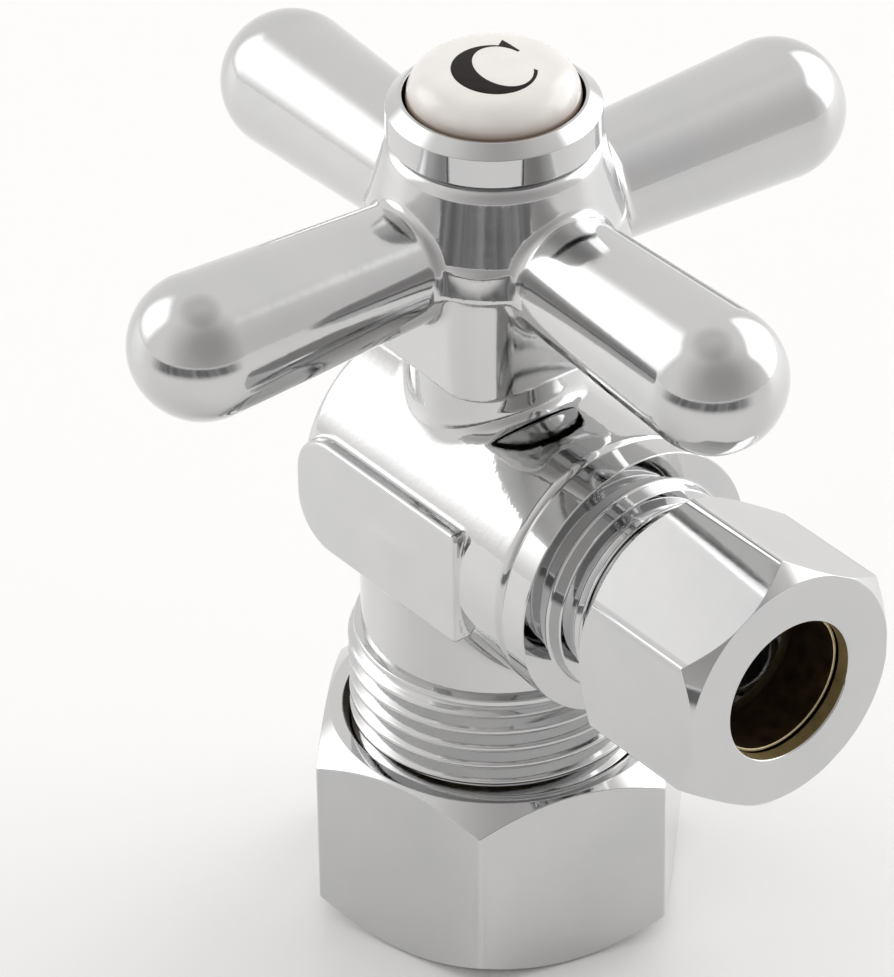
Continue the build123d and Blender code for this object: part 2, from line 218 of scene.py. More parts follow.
def threaded(before, thread, after, segments=168):
    """Turned shape with a true helical thread on its outside, between two plain stretches.

    before and after are corner lists that end and start at the thread's root. thread gives
    crest and root radius, pitch, and the heights where it starts and stops."""
    crest, root, pitch, start, stop = thread
    heights, rises = [], []
    turns = int((stop - start) / pitch) + 3
    for turn in range(-2, turns):
        for share, rise in THREAD_FORM:
            heights.append(start + (turn + share) * pitch)
            rises.append(rise)
    heights, rises = np.array(heights), np.array(rises)
    lead, run_out = THREAD_LEAD * pitch, THREAD_RUN_OUT * pitch
    angles = np.linspace(0, 2 * math.pi, segments + 1)
    low_path, low_lean = rounded_path(before, closed=False)
    high_path, high_lean = rounded_path(after, closed=False)
    rows, lean = [], []
    for angle in angles:
        z = np.clip(heights + pitch * angle / (2 * math.pi), start, stop)
        fade = np.clip((z - start) / lead, 0, 1) * np.clip((stop - z) / run_out, 0, 1)
        r = root + (crest - root) * rises * fade
        path = np.concatenate([low_path, np.stack([r, z], 1), high_path])
        tangents = np.concatenate([low_lean, np.full((len(r), 2), np.nan), high_lean])
        c, s = math.cos(angle), math.sin(angle)
        rows.append(np.stack([path[:, 0] * c, path[:, 0] * s, path[:, 1]], 1))
        lean.append(np.stack([tangents[:, 1] * c, tangents[:, 1] * s, -tangents[:, 0]], 1))
    length = len(rows[0])
    j, i = np.meshgrid(np.arange(segments), np.arange(length), indexing="ij")
    j, i = j.ravel(), i.ravel()
    nj, ni = j + 1, (i + 1) % length
    faces = np.stack([j * length + i, nj * length + i, nj * length + ni, j * length + ni], 1)
    points, normals, faces = weld(np.concatenate(rows), np.concatenate(lean), faces)
    mean = averaged_normals(points, faces)
    blank = np.isnan(normals[:, 0])
    normals[blank] = mean[blank]
    return points, normals, faces


# ---------------------------------------------------------------- blended castings

def join(a, b, blend):
    """Union of two distance fields with a fillet."""
    share = np.maximum(blend - np.abs(a - b), 0) / blend
    return np.minimum(a, b) - share * share * blend / 4


def keep(a, b, blend):
    """Intersection of two distance fields with a rounded edge."""
    return -join(-a, -b, blend)


def casting(field, low, high, step):
    """Points, exact normals and quads of the surface where a distance field is zero."""
    axes = [np.arange(l, h + step, step) for l, h in zip(low, high)]
    layers = (np.meshgrid([x], axes[1], axes[2], indexing="ij") for x in axes[0])
    values = np.stack([field(np.stack(layer, -1))[0] for layer in layers]).astype(np.float32)
    inside = values < 0
    offsets = [(i, j, k) for i in (0, 1) for j in (0, 1) for k in (0, 1)]
    size = [n - 1 for n in values.shape]

    def shifted(grid, offset):
        return grid[tuple(slice(o, o + n) for o, n in zip(offset, size))]

    filled = sum(shifted(inside, o).astype(np.int8) for o in offsets)
    cells = np.argwhere((filled > 0) & (filled < 8))
    index = np.full(size, -1, np.int64)
    index[tuple(cells.T)] = np.arange(len(cells))
    total, hits = np.zeros((len(cells), 3)), np.zeros(len(cells))
    for axis in range(3):
        for o in offsets:
            if o[axis]:
                continue
            near = cells + np.array(o)
            far = near.copy()
            far[:, axis] += 1
            a, b = values[tuple(near.T)].astype(float), values[tuple(far.T)].astype(float)
            crossed = (a < 0) != (b < 0)
            spot = near.astype(float)
            spot[:, axis] += np.where(crossed, a / np.where(crossed, a - b, 1), 0)
            total[crossed] += spot[crossed]
            hits[crossed] += 1
    points = np.array([a[0] for a in axes]) + total / hits[:, None] * step

    faces = []
    for axis in range(3):
        first, second = [k for k in range(3) if k != axis]
        near = [slice(1, -1)] * 3
        near[axis] = slice(0, -1)
        far = list(near)
        far[axis] = slice(1, None)
        change = inside[tuple(near)].astype(np.int8) - inside[tuple(far)].astype(np.int8)
        for sign in (1, -1):
            spots = np.argwhere(change == sign)
            spots[:, first] += 1
            spots[:, second] += 1
            ring = []
            for a, b in ((1, 1), (0, 1), (0, 0), (1, 0)):
                cell = spots.copy()
                cell[:, first] -= a
                cell[:, second] -= b
                ring.append(index[tuple(cell.T)])
            quad = np.stack(ring, 1)
            flip = (sign == 1) == (axis == 1)
            faces.append(quad[:, ::-1] if flip else quad)
    faces = np.concatenate(faces)

    def slope(spots, reach=1e-3):
        sides = np.eye(3) * reach
        return np.stack([(field(spots + s) - field(spots - s)) / (2 * reach) for s in sides], -1)

    for _ in range(5):
        lean = slope(points)
        points = points - lean * (field(points) / np.maximum((lean ** 2).sum(-1), 1e-6))[:, None]
    normals = slope(points)
    normals /= np.linalg.norm(normals, axis=1)[:, None]
    return points, normals, faces.tolist()


def box_distance(across, up, half_across, half_up, round_r):
    """Distance to the outline of a flat box with rounded corners."""
    qx, qz = np.abs(across) - half_across + round_r, np.abs(up) - half_up + round_r
    outside = np.sqrt(np.maximum(qx, 0) ** 2 + np.maximum(qz, 0) ** 2)
    return outside + np.minimum(np.maximum(qx, qz), 0) - round_r


# ---------------------------------------------------------------- materials

def node_material(name):
    """A material with its nodes, links, shader, and place in the object's own axes."""
    material = bpy.data.materials.new(name)
    material.use_nodes = True
    nodes, links = material.node_tree.nodes, material.node_tree.links
    shader = nodes["Principled BSDF"]
    place = nodes.new("ShaderNodeTexCoord").outputs["Object"]
    return material, nodes, links, shader, place


def noise(nodes, links, place, size_mm, detail=3.0, stretch=(1, 1, 1)):
    """Noise whose features are about size_mm across, longer along the axes with stretch above 1."""
    scale = nodes.new("ShaderNodeMapping")
    scale.inputs["Scale"].default_value = [1000 / size_mm / s for s in stretch]
    links.new(place, scale.inputs["Vector"])
    texture = nodes.new("ShaderNodeTexNoise")
    texture.inputs["Scale"].default_value = 1.0
    texture.inputs["Detail"].default_value = detail
    links.new(scale.outputs["Vector"], texture.inputs["Vector"])
    return texture.outputs["Fac"]


def ranged(nodes, links, value, low, high, start=0.3, stop=0.7):
    """Maps a value from start..stop to low..high; the default span suits noise."""
    span = nodes.new("ShaderNodeMapRange")
    span.inputs["From Min"].default_value = start
    span.inputs["From Max"].default_value = stop
    span.inputs["To Min"].default_value = low
    span.inputs["To Max"].default_value = high
    links.new(value, span.inputs["Value"])
    return span.outputs["Result"]


def soft_ranged(nodes, links, value, low, high, start, stop):
    """The same with a smooth start and stop."""
    result = ranged(nodes, links, value, low, high, start, stop)
    result.node.interpolation_type = "SMOOTHSTEP"
    return result


MIX_SHARE, MIX_LOW, MIX_HIGH, MIX_COLOUR = 0, 6, 7, 2


def blended_colour(nodes, links, value, low, high):
    """Colour from low to high as a value goes from 0 to 1."""
    mix = nodes.new("ShaderNodeMix")
    mix.data_type = "RGBA"
    mix.inputs[MIX_LOW].default_value = (*low, 1)
    mix.inputs[MIX_HIGH].default_value = (*high, 1)
    links.new(value, mix.inputs[MIX_SHARE])
    return mix.outputs[MIX_COLOUR]


def bumped(nodes, links, height, depth_mm, under=None):
    """Relief of a depth, on top of the relief under it."""
    bump = nodes.new("ShaderNodeBump")
    bump.inputs["Distance"].default_value = depth_mm * MM
    links.new(height, bump.inputs["Height"])
    if under is not None:
        links.new(under, bump.inputs["Normal"])
    return bump.outputs["Normal"]


COAT_ROUGH = 0.03
ROUGH_START, ROUGH_STOP = 0.12, 0.42


def surface(name, low, high, rough, metallic, patch_mm, waves, coat=0.0, ior=1.5, painted_shade_foot=None):
    """Procedural finish with patchy colour and roughness.

    waves lists its relief as (size_mm, depth_mm, stretch). The last argument paints shade towards the
    bottom:
    a shade colour and two heights in millimetres, all shade colour below the first, none above the
    second."""
    material, nodes, links, shader, place = node_material(name)
    patches = noise(nodes, links, place, patch_mm, 4.0)
    fine = noise(nodes, links, place, patch_mm / 9, 5.0)
    colour = blended_colour(nodes, links, ranged(nodes, links, patches, 0, 1), low, high)
    # Painted shade: towards the bottom the colour turns to the shade colour, fully below the first
    # height.
    if painted_shade_foot is not None:
        shade_colour, full_shade_z, no_shade_z = painted_shade_foot
        apart = nodes.new("ShaderNodeSeparateXYZ")
        links.new(place, apart.inputs[0])
        share = soft_ranged(nodes, links, apart.outputs["Z"], 1, 0, full_shade_z * MM, no_shade_z * MM)
        shaded_colour = blended_colour(nodes, links, share, low, shade_colour)
        links.new(colour, shaded_colour.node.inputs[MIX_LOW])
        colour = shaded_colour
    links.new(colour, shader.inputs["Base Color"])
    both = nodes.new("ShaderNodeMath")
    both.operation = "MULTIPLY"
    links.new(patches, both.inputs[0])
    links.new(fine, both.inputs[1])
    roughness = ranged(nodes, links, both.outputs[0], *rough, ROUGH_START, ROUGH_STOP)
    links.new(roughness, shader.inputs["Roughness"])
    shader.inputs["Metallic"].default_value = metallic
    shader.inputs["IOR"].default_value = ior
    shader.inputs["Coat Weight"].default_value = coat
    shader.inputs["Coat Roughness"].default_value = COAT_ROUGH
    relief = None
    for size_mm, depth_mm, stretch in waves:
        height = noise(nodes, links, place, size_mm, 2.0, stretch)
        relief = bumped(nodes, links, height, depth_mm, relief)
    links.new(relief, shader.inputs["Normal"])
    return material


EVEN = (1, 1, 1)
CHROME_LOW, CHROME_HIGH = (0.575, 0.58, 0.585), (0.61, 0.61, 0.605)
chrome_cast = surface("chrome_over_forging", CHROME_LOW, CHROME_HIGH, (0.035, 0.075), 1.0, 7.0,
                      [(2.6, 0.012, EVEN), (0.42, 0.0048, EVEN)])
chrome_handle = surface("chrome_over_casting", CHROME_LOW, CHROME_HIGH, (0.07, 0.13), 1.0, 9.0,
                        [(3.4, 0.012, EVEN), (0.9, 0.004, (1, 1, 5)), (0.45, 0.0014, EVEN)])
chrome_turned = surface("chrome_over_turning", CHROME_LOW, CHROME_HIGH, (0.035, 0.08), 1.0, 5.0,
                        [(0.22, 0.0008, (1, 12, 12)), (1.8, 0.003, EVEN)])
chrome_thread = surface("chrome_over_thread", CHROME_LOW, CHROME_HIGH, (0.06, 0.16), 1.0, 3.0,
                        [(0.3, 0.004, (9, 9, 1)), (1.5, 0.01, EVEN)])
chrome_nut = surface("chrome_over_bar", CHROME_LOW, CHROME_HIGH, (0.04, 0.09), 1.0, 6.0,
                     [(3.5, 0.006, EVEN), (0.35, 0.0006, EVEN)])
chrome_ring = surface("chrome_bezel", CHROME_LOW, CHROME_HIGH, (0.03, 0.06), 1.0, 4.0,
                      [(0.16, 0.0007, (14, 14, 1))])
# The porcelain darkens to a brown painted shade towards its lower edge, fully below 62.4 mm and none
# above 64.0 mm.
porcelain = surface("glazed_porcelain", (0.80, 0.77, 0.735), (0.86, 0.84, 0.81), (0.08, 0.16), 0.0, 2.4,
                    [(1.9, 0.006, EVEN)], coat=0.6, ior=1.52, painted_shade_foot=((0.30, 0.22, 0.16), 62.4, 64.0))
enamel = surface("black_enamel", (0.010, 0.008, 0.008), (0.020, 0.016, 0.015), (0.3, 0.5), 0.0, 0.8,
                 [(0.25, 0.002, EVEN)], ior=1.2)
brass = surface("bare_brass", (0.66, 0.43, 0.17), (0.80, 0.58, 0.28), (0.14, 0.30), 1.0, 1.6,
                [(0.12, 0.0015, (1, 10, 10))])
# Dark brass colour that paints shade into hollows: inside the handle, the nut bores, the adapter's end,
# the bezel's pocket and the ferrules.
painted_shade_brass = surface("brass_in_painted_shade", (0.045, 0.03, 0.016), (0.10, 0.065, 0.03), (0.35, 0.6), 0.7, 1.1,
                    [(0.2, 0.003, EVEN)])
olive_brass = surface("dull_brass", (0.24, 0.18, 0.07), (0.36, 0.27, 0.12), (0.25, 0.45), 0.25, 1.3,
                      [(0.12, 0.0015, (1, 10, 10))])
worn_brass = surface("worn_brass_edge", (0.80, 0.64, 0.36), (0.95, 0.80, 0.52), (0.2, 0.35), 0.3, 0.9,
                     [(0.12, 0.0015, (1, 10, 10))])
nickel_ball = surface("plated_ball", (0.62, 0.61, 0.58), (0.70, 0.69, 0.66), (0.05, 0.12), 1.0, 2.5,
                      [(0.6, 0.0008, EVEN)])
seat_plastic = surface("white_seat_plastic", (0.78, 0.78, 0.76), (0.87, 0.87, 0.85), (0.38, 0.55),
                       0.0, 1.2, [(0.2, 0.003, EVEN)])
fibre = surface("grey_fibre", (0.05, 0.045, 0.04), (0.11, 0.10, 0.09), (0.65, 0.85), 0.0, 0.5,
                [(0.12, 0.01, (3, 3, 1))])
rubber = surface("black_rubber", (0.012, 0.012, 0.013), (0.028, 0.028, 0.03), (0.45, 0.68), 0.0, 0.9,
                 [(0.1, 0.003, EVEN)])
steel = surface("stainless_steel", (0.50, 0.49, 0.47), (0.60, 0.59, 0.57), (0.18, 0.34), 1.0, 1.4,
                [(0.1, 0.002, (8, 1, 1))])

# ---------------------------------------------------------------- handle

HANDLE_TURN = math.radians(-2.0)
ARM_Z = 52.8
ARM_INNER_X, ARM_INNER_R = 3.0, 4.0
ARM_TIP_R = 4.87
ARM_TIP_X, ARM_TIP_Y = 22.7, 23.2
HUB_TOP, HUB_TOP_R = 59.84, 7.1
HUB_FLARE_Z, HUB_FLARE_R = 53.6, 8.6
SKIRT_BOTTOM, SKIRT_HALF, SKIRT_CORNER_R = 44.1, 7.0, 3.2
SKIRT_SLOPE = math.tan(math.radians(1.4))
HUB_OVERLAP = 1.4
# Hollows inside the casting: room over the boss, stem broach, screw seat and button pocket.
ROOM_R, ROOM_TOP = 6.05, 47.8
BROACH_R, BROACH_TOP = 3.04, 54.7
SCREW_HOLE_R = 2.15
SCREW_SEAT_R, SCREW_SEAT_Z = 4.4, 56.2
POCKET_R, POCKET_Z = 5.54, 57.2
HANDLE_GRAIN = 0.23


def round_cone(along, aside, start, start_r, stop, stop_r):
    """Distance to a bar whose ends are spheres of two radii."""
    length = stop - start
    lean = (start_r - stop_r) / length
    rise = math.sqrt(1 - lean * lean)
    u = along - start
    level = rise * u - lean * aside
    tip = np.sqrt(aside ** 2 + (u - length) ** 2) - stop_r
    root = np.sqrt(aside ** 2 + u ** 2) - start_r
    side = rise * aside + lean * u - start_r
    return np.where(level < 0, root, np.where(level > rise * length, tip, side))


def arm_pair(along, across, height, tip_x):
    """Distance to two opposite arms."""
    aside = np.sqrt(across * across + height * height)
    return round_cone(np.abs(along), aside, ARM_INNER_X, ARM_INNER_R, tip_x, ARM_TIP_R)


def handle_field(p):
    """Distance to the handle casting."""
    c, s = math.cos(HANDLE_TURN), math.sin(HANDLE_TURN)
    x, y = p[..., 0] * c + p[..., 1] * s, p[..., 1] * c - p[..., 0] * s
    z = p[..., 2]
    r = np.sqrt(x * x + y * y + 1e-12)
    rise, run = HUB_TOP - HUB_FLARE_Z, HUB_FLARE_R - HUB_TOP_R
    side = ((r - HUB_FLARE_R) * rise + (z - HUB_FLARE_Z) * run) / math.hypot(rise, run)
    hub = keep(keep(side, z - HUB_TOP, 1.0), HUB_FLARE_Z - HUB_OVERLAP - z, 0.4)
    half = SKIRT_HALF - (HUB_FLARE_Z - z) * SKIRT_SLOPE
    square = box_distance(x, y, half, half, SKIRT_CORNER_R)
    skirt = keep(keep(square, SKIRT_BOTTOM - z, 0.5), z - HUB_FLARE_Z - 0.6, 0.3)
    solid = join(hub, skirt, 0.5)
    height = z - ARM_Z
    arms = join(arm_pair(x, y, height, ARM_TIP_X), arm_pair(y, x, height, ARM_TIP_Y), 0.5)
    solid = join(solid, arms, 0.6)
    hollow = np.minimum(np.maximum(r - ROOM_R, z - ROOM_TOP), np.maximum(r - BROACH_R, z - BROACH_TOP))
    for space in (r - SCREW_HOLE_R, np.maximum(r - SCREW_SEAT_R, SCREW_SEAT_Z - z),
                  np.maximum(r - POCKET_R, POCKET_Z - z)):
        hollow = np.minimum(hollow, space)
    return keep(solid, -hollow, 0.2)


def inside_handle(c):
    """True for a face inside the handle's hollows."""
    off_axis = math.hypot(c.x, c.y)
    return off_axis < (ROOM_R + 0.05 if c.z < ROOM_TOP + 0.1 else POCKET_R + 0.06)


handle = make_piece(
    "handle_casting", "handle_and_stem",
    casting(handle_field, (-28.6, -28.6, 43.8), (28.6, 28.6, 60.2), HANDLE_GRAIN),
    chrome_handle, ["handle"])
# Painted shade inside the handle's hollows, so the skirt's underside shows dark.
paint(handle, painted_shade_brass, inside_handle)

# ---------------------------------------------------------------- body forging

BARREL_R, BARREL_BACK, BARREL_FRONT = 9.38, -9.55, 11.96
NECK_R, NECK_FOOT = 9.4, 20.6
BOSS_R, BOSS_TOP = 5.75, 46.0
PAD_Y = 9.525
PAD_LEFT, PAD_RIGHT, PAD_BOTTOM, PAD_TOP = -9.75, 7.35, 27.4, 36.0
PAD_ROUND, PAD_SQUARE = 3.4, 0.5
# Hollows inside the forging: ball chamber, adapter thread, stem way, gland and waterway.
CHAMBER_R, CHAMBER_BACK, CHAMBER_FRONT = 6.0, -6.85, 8.0
ADAPTER_WAY_R, ADAPTER_WAY_START = 7.04, 6.9
STEM_WAY_R, STEM_WAY_TOP = 4.05, 40.3
GLAND_R, WATERWAY_R = 3.26, 3.6
BODY_GRAIN = 0.2


def body_field(p):
    """Distance to the body forging."""
    x, y, z = p[..., 0], p[..., 1], p[..., 2]
    r = np.sqrt(x * x + y * y + 1e-12)
    up = z - OUTLET_Z
    q = np.sqrt(y * y + up * up + 1e-12)
    barrel = keep(keep(q - BARREL_R, BARREL_BACK - x, 0.9), x - BARREL_FRONT, 0.8)
    neck = keep(keep(r - NECK_R, NECK_FOOT - z, 0.3), z - OUTLET_Z, 0.3)
    boss = keep(keep(r - BOSS_R, z - BOSS_TOP, 0.4), OUTLET_Z - z, 0.4)
    solid = join(join(barrel, neck, 0.9), boss, 1.1)
    mid_x, mid_z = (PAD_LEFT + PAD_RIGHT) / 2, (PAD_BOTTOM + PAD_TOP) / 2
    half_x, half_z = (PAD_RIGHT - PAD_LEFT) / 2, (PAD_TOP - PAD_BOTTOM) / 2
    ox, oz = x - mid_x, z - mid_z
    round_r = np.where(ox < 0, PAD_ROUND, PAD_SQUARE)
    outline = box_distance(ox, oz, half_x, half_z, round_r)
    solid = join(solid, keep(outline, np.abs(y) - PAD_Y, 0.3), 0.2)
    hollow = np.maximum(np.maximum(q - CHAMBER_R, CHAMBER_BACK - x), x - CHAMBER_FRONT)
    for space in (
        np.maximum(q - ADAPTER_WAY_R, ADAPTER_WAY_START - x),
        np.maximum(np.maximum(r - STEM_WAY_R, z - STEM_WAY_TOP), OUTLET_Z - z),
        np.maximum(r - GLAND_R, OUTLET_Z - z),
        np.maximum(r - WATERWAY_R, z - OUTLET_Z),
    ):
        hollow = np.minimum(hollow, space)
    return keep(solid, -hollow, 0.2)


make_piece("body_forging", "valve",
           casting(body_field, (-10.3, -10.1, 20.2), (12.5, 10.1, 46.6), BODY_GRAIN),
           chrome_cast, ["valve_body"])

# ---------------------------------------------------------------- threaded inlet

INCH = 25.4
INLET_CREST_R, INLET_ROOT_R, INLET_PITCH = 10.3, 9.45, INCH / 18
INLET_THREAD_START, INLET_THREAD_STOP = 5.9, 20.9
INLET_SOCKET_R, INLET_SOCKET_START, INLET_SOCKET_END = 7.9975, 7.8, 17.5

inlet_thread = threaded(
    before=[(9.35, 5.4, 0.2), (9.6, 5.5, 0.2), (INLET_ROOT_R, INLET_THREAD_START, 0.1)],
    thread=(INLET_CREST_R, INLET_ROOT_R, INLET_PITCH, INLET_THREAD_START, INLET_THREAD_STOP),
    after=[
        (INLET_ROOT_R, INLET_THREAD_STOP, 0.1), (9.95, 21.05, 0.12), (9.9, 21.45, 0.15),
        (9.25, 21.6, 0.1), (WATERWAY_R, 21.6, 0.1), (WATERWAY_R, INLET_SOCKET_END, 0.1),
        (INLET_SOCKET_R, INLET_SOCKET_END, 0.1), (INLET_SOCKET_R, INLET_SOCKET_START, 0.1),
        (9.35, 5.4, 0.1),
    ],
)
make_piece("inlet_thread", "valve", inlet_thread, chrome_thread)

# ---------------------------------------------------------------- outlet adapter

ON_OUTLET = Matrix.Translation((0, 0, OUTLET_Z)) @ Matrix.Rotation(math.pi / 2, 4, "Y")

ADAPTER_BACK, ADAPTER_FRONT = 6.94, 25.2
COLLAR_R, COLLAR_BACK, COLLAR_FRONT = 9.45, 12.1, 14.2
OUTLET_CREST_R, OUTLET_ROOT_R, OUTLET_PITCH = 7.14, 6.5, INCH / 24
OUTLET_THREAD_START, OUTLET_THREAD_STOP = 15.85, 25.0
OUTLET_SOCKET_R, OUTLET_SOCKET_START = 4.8225, 17.0


def off_outlet(c):
    """Distance of a point from the outlet's axis."""
    return math.hypot(c.y, c.z - OUTLET_Z)


adapter_turning = threaded(
    before=[
        (6.4, ADAPTER_BACK, 0.1), (7.0, 7.5, 0.1), (7.0, COLLAR_BACK, 0.08),
        (COLLAR_R, COLLAR_BACK, 0.08), (COLLAR_R, COLLAR_FRONT, 0.1), (7.5, 14.35, 0.25),
        (7.42, 15.5, 0.15), (OUTLET_ROOT_R, 15.8, 0.1), (OUTLET_ROOT_R, OUTLET_THREAD_START, 0.02),
    ],
    thread=(OUTLET_CREST_R, OUTLET_ROOT_R, OUTLET_PITCH, OUTLET_THREAD_START, OUTLET_THREAD_STOP),
    after=[
        (OUTLET_ROOT_R, OUTLET_THREAD_STOP, 0.05), (6.48, ADAPTER_FRONT, 0.1),
        (5.9, ADAPTER_FRONT, 0.1), (4.95, 23.6, 0.08), (OUTLET_SOCKET_R, 23.55, 0.03),
        (OUTLET_SOCKET_R, OUTLET_SOCKET_START, 0.08), (WATERWAY_R, OUTLET_SOCKET_START, 0.08),
        (WATERWAY_R, ADAPTER_BACK, 0.1), (6.4, ADAPTER_BACK, 0.1),
    ],
)
adapter = make_piece("adapter_turning", "valve", adapter_turning, chrome_turned,
                     ["outlet_adapter"], ON_OUTLET)
# Painted shade on the adapter's front end, inside the nut's bore.
paint(adapter, painted_shade_brass, lambda c: c.x > 23.3 and off_outlet(c) < 6.2)

# ---------------------------------------------------------------- nuts

INLET_NUT_FLATS, INLET_NUT_H = 23.8, 14.3
INLET_NUT_FACE_R, INLET_NUT_DROP, INLET_NUT_TURN = 11.7, 1.75, math.radians(15)
INLET_NUT_THREAD_R, INLET_NUT_MOUTH_R, INLET_NUT_HOLE_R = 10.36, 10.8, 8.1475

inlet_bore = [
    (INLET_NUT_MOUTH_R, INLET_NUT_H, 0.12), (INLET_NUT_THREAD_R, INLET_NUT_H - 1.0, 0.1),
    (INLET_NUT_THREAD_R, 4.9, 0.1), (9.6, 4.4, 0.1),
    (INLET_NUT_HOLE_R, 3.0, 0.1), (INLET_NUT_HOLE_R, 0.0, 0.25),
]
inlet_hexagon = nut(INLET_NUT_FLATS, 0.0, INLET_NUT_H, INLET_NUT_FACE_R, INLET_NUT_DROP,
                    INLET_NUT_TURN, inlet_bore, edge=0.16, corner_round=0.35)
inlet_nut = make_piece("inlet_hexagon_nut", "inlet_coupling_nut", inlet_hexagon, chrome_nut,
                       ["inlet_nut"])
# Painted shade on the inlet nut's bore.
paint(inlet_nut, painted_shade_brass,
      lambda c: 0.4 < c.z < INLET_NUT_H - 0.1 and math.hypot(c.x, c.y) < INLET_NUT_MOUTH_R - 0.05)

OUTLET_NUT_FLATS, OUTLET_NUT_START, OUTLET_FACE = 16.5, 18.45, 29.7
OUTLET_NUT_FACE_R, OUTLET_NUT_DROP, OUTLET_NUT_TURN = 8.27, 1.35, math.radians(-1)
OUTLET_NUT_THREAD_R, OUTLET_NUT_MOUTH_R, OUTLET_NUT_HOLE_R = 7.2, 7.75, 4.98
OUTLET_LIP_BACK = 28.7

outlet_bore = [
    (OUTLET_NUT_HOLE_R, OUTLET_FACE, 0.15), (OUTLET_NUT_HOLE_R, OUTLET_LIP_BACK, 0.16),
    (5.8, 27.9, 0.1), (OUTLET_NUT_THREAD_R, 27.2, 0.1),
    (OUTLET_NUT_THREAD_R, OUTLET_NUT_START + 0.7, 0.1), (OUTLET_NUT_MOUTH_R, OUTLET_NUT_START, 0.12),
]
outlet_hexagon = nut(OUTLET_NUT_FLATS, OUTLET_NUT_START, OUTLET_FACE, OUTLET_NUT_FACE_R,
                     OUTLET_NUT_DROP, OUTLET_NUT_TURN, outlet_bore, edge=0.1, corner_round=0.25)
outlet_nut = make_piece("outlet_hexagon_nut", "outlet_coupling_nut", outlet_hexagon, chrome_nut,
                        ["outlet_nut"], ON_OUTLET)
# Painted shade on the outlet nut's bore behind its lip.
paint(outlet_nut, painted_shade_brass,
      lambda c: 18.9 < c.x < 28.5 and off_outlet(c) < OUTLET_NUT_MOUTH_R - 0.15)
paint(outlet_nut, olive_brass,
      lambda c: 28.5 < c.x < OUTLET_FACE - 0.12 and off_outlet(c) < OUTLET_NUT_HOLE_R + 0.12)

# ---------------------------------------------------------------- ferrules, seen inside the nuts

OUTLET_RING_FRONT = 28.4
outlet_ring = [
    (4.8425, 24.2, 0.06), (5.05, 24.2, 0.1), (5.5, 25.7, 0.2), (5.5, 26.4, 0.2),
    (5.05, OUTLET_RING_FRONT, 0.1), (4.8425, OUTLET_RING_FRONT, 0.06),
]
# The ferrule's colour is painted shade, dark inside the nut; its front face has a worn brass colour.
outlet_ferrule = make_piece("outlet_ferrule_ring", "outlet_sleeve", turned(outlet_ring, segments=144),
                            painted_shade_brass, ["outlet_ferrule"], ON_OUTLET)
paint(outlet_ferrule, worn_brass, lambda c: c.x > OUTLET_RING_FRONT - 0.1)

inlet_ring = [
    (8.0175, 3.5, 0.06), (8.35, 3.5, 0.1), (8.75, 4.6, 0.2), (8.75, 5.4, 0.2),
    (8.3, 7.0, 0.1), (8.0175, 7.0, 0.06),
]
# The ferrule's colour is painted shade, dark inside the nut.
make_piece("inlet_ferrule_ring", "inlet_sleeve", turned(inlet_ring, segments=144),
           painted_shade_brass, ["inlet_ferrule"])

# ---------------------------------------------------------------- index button

BEZEL_R, BEZEL_BOTTOM, BEZEL_SHOULDER = 7.05, 59.96, 62.04
BEZEL_TOP, BEZEL_TOP_R = 62.83, 6.16
DISC_SEAT_R, DISC_SEAT_Z = 5.92, 60.4
COLLET_R, COLLET_INNER_R, COLLET_BOTTOM, COLLET_ROOF = 5.5, 4.5, 57.5, 59.66

bezel_corners = [
    (0.0, COLLET_ROOF, 0.0), (COLLET_INNER_R, COLLET_ROOF, 0.1), (COLLET_INNER_R, COLLET_BOTTOM, 0.1),
    (COLLET_R, COLLET_BOTTOM, 0.1), (COLLET_R, BEZEL_BOTTOM, 0.1), (BEZEL_R, BEZEL_BOTTOM, 0.12),
    (BEZEL_R, BEZEL_SHOULDER, 0.1), (BEZEL_TOP_R, BEZEL_TOP, 0.12), (DISC_SEAT_R, BEZEL_TOP, 0.06),
    (DISC_SEAT_R, DISC_SEAT_Z, 0.1), (0.0, DISC_SEAT_Z, 0.0),
]
bezel = make_piece("index_bezel", "index_button", turned(bezel_corners, closed=False, segments=240),
                   chrome_ring, ["index_ring"])
# Painted shade on the wall of the disc's pocket, so the gap round the porcelain shows dark.
paint(bezel, painted_shade_brass, lambda c: (
    DISC_SEAT_Z - 0.1 < c.z < BEZEL_TOP - 0.08 and math.hypot(c.x, c.y) < DISC_SEAT_R + 0.03))

DISC_R, DISC_TOP = 5.72, 65.0
CROWN_DROP, SHOULDER_DROP, SHOULDER_POWER = 0.4, 2.2, 8
DISC_BOTTOM = 60.42


def glaze_height(radius):
    """Height of the porcelain's crown at a distance from its axis."""
    share = radius / DISC_R
    shoulder = 1 - math.sqrt(1 - share ** SHOULDER_POWER)
    return DISC_TOP - CROWN_DROP * share ** 2 - SHOULDER_DROP * shoulder


# The crown's points crowd together towards its edge, which they stop just short of.
crowding = (1 - (1 - np.linspace(0, 1, 72)) ** 2.6)[::-1]
crown = [(float(r), float(glaze_height(r))) for r in DISC_R * crowding * 0.99999]
underside = [(0.0, DISC_BOTTOM), (5.2, DISC_BOTTOM), (5.42, 60.6), (5.6, 61.4)]
disc_path = np.array(underside + crown)
disc_lean = np.gradient(disc_path, axis=0)
disc_lean /= np.linalg.norm(disc_lean, axis=1)[:, None]
disc_lean[0], disc_lean[-1] = (1, 0), (-1, 0)
disc = sweep_round(lambda angle: (disc_path, disc_lean), round_steps(200), closed=False)
make_piece("index_porcelain", "index_button", disc, porcelain, ["index_disc"])

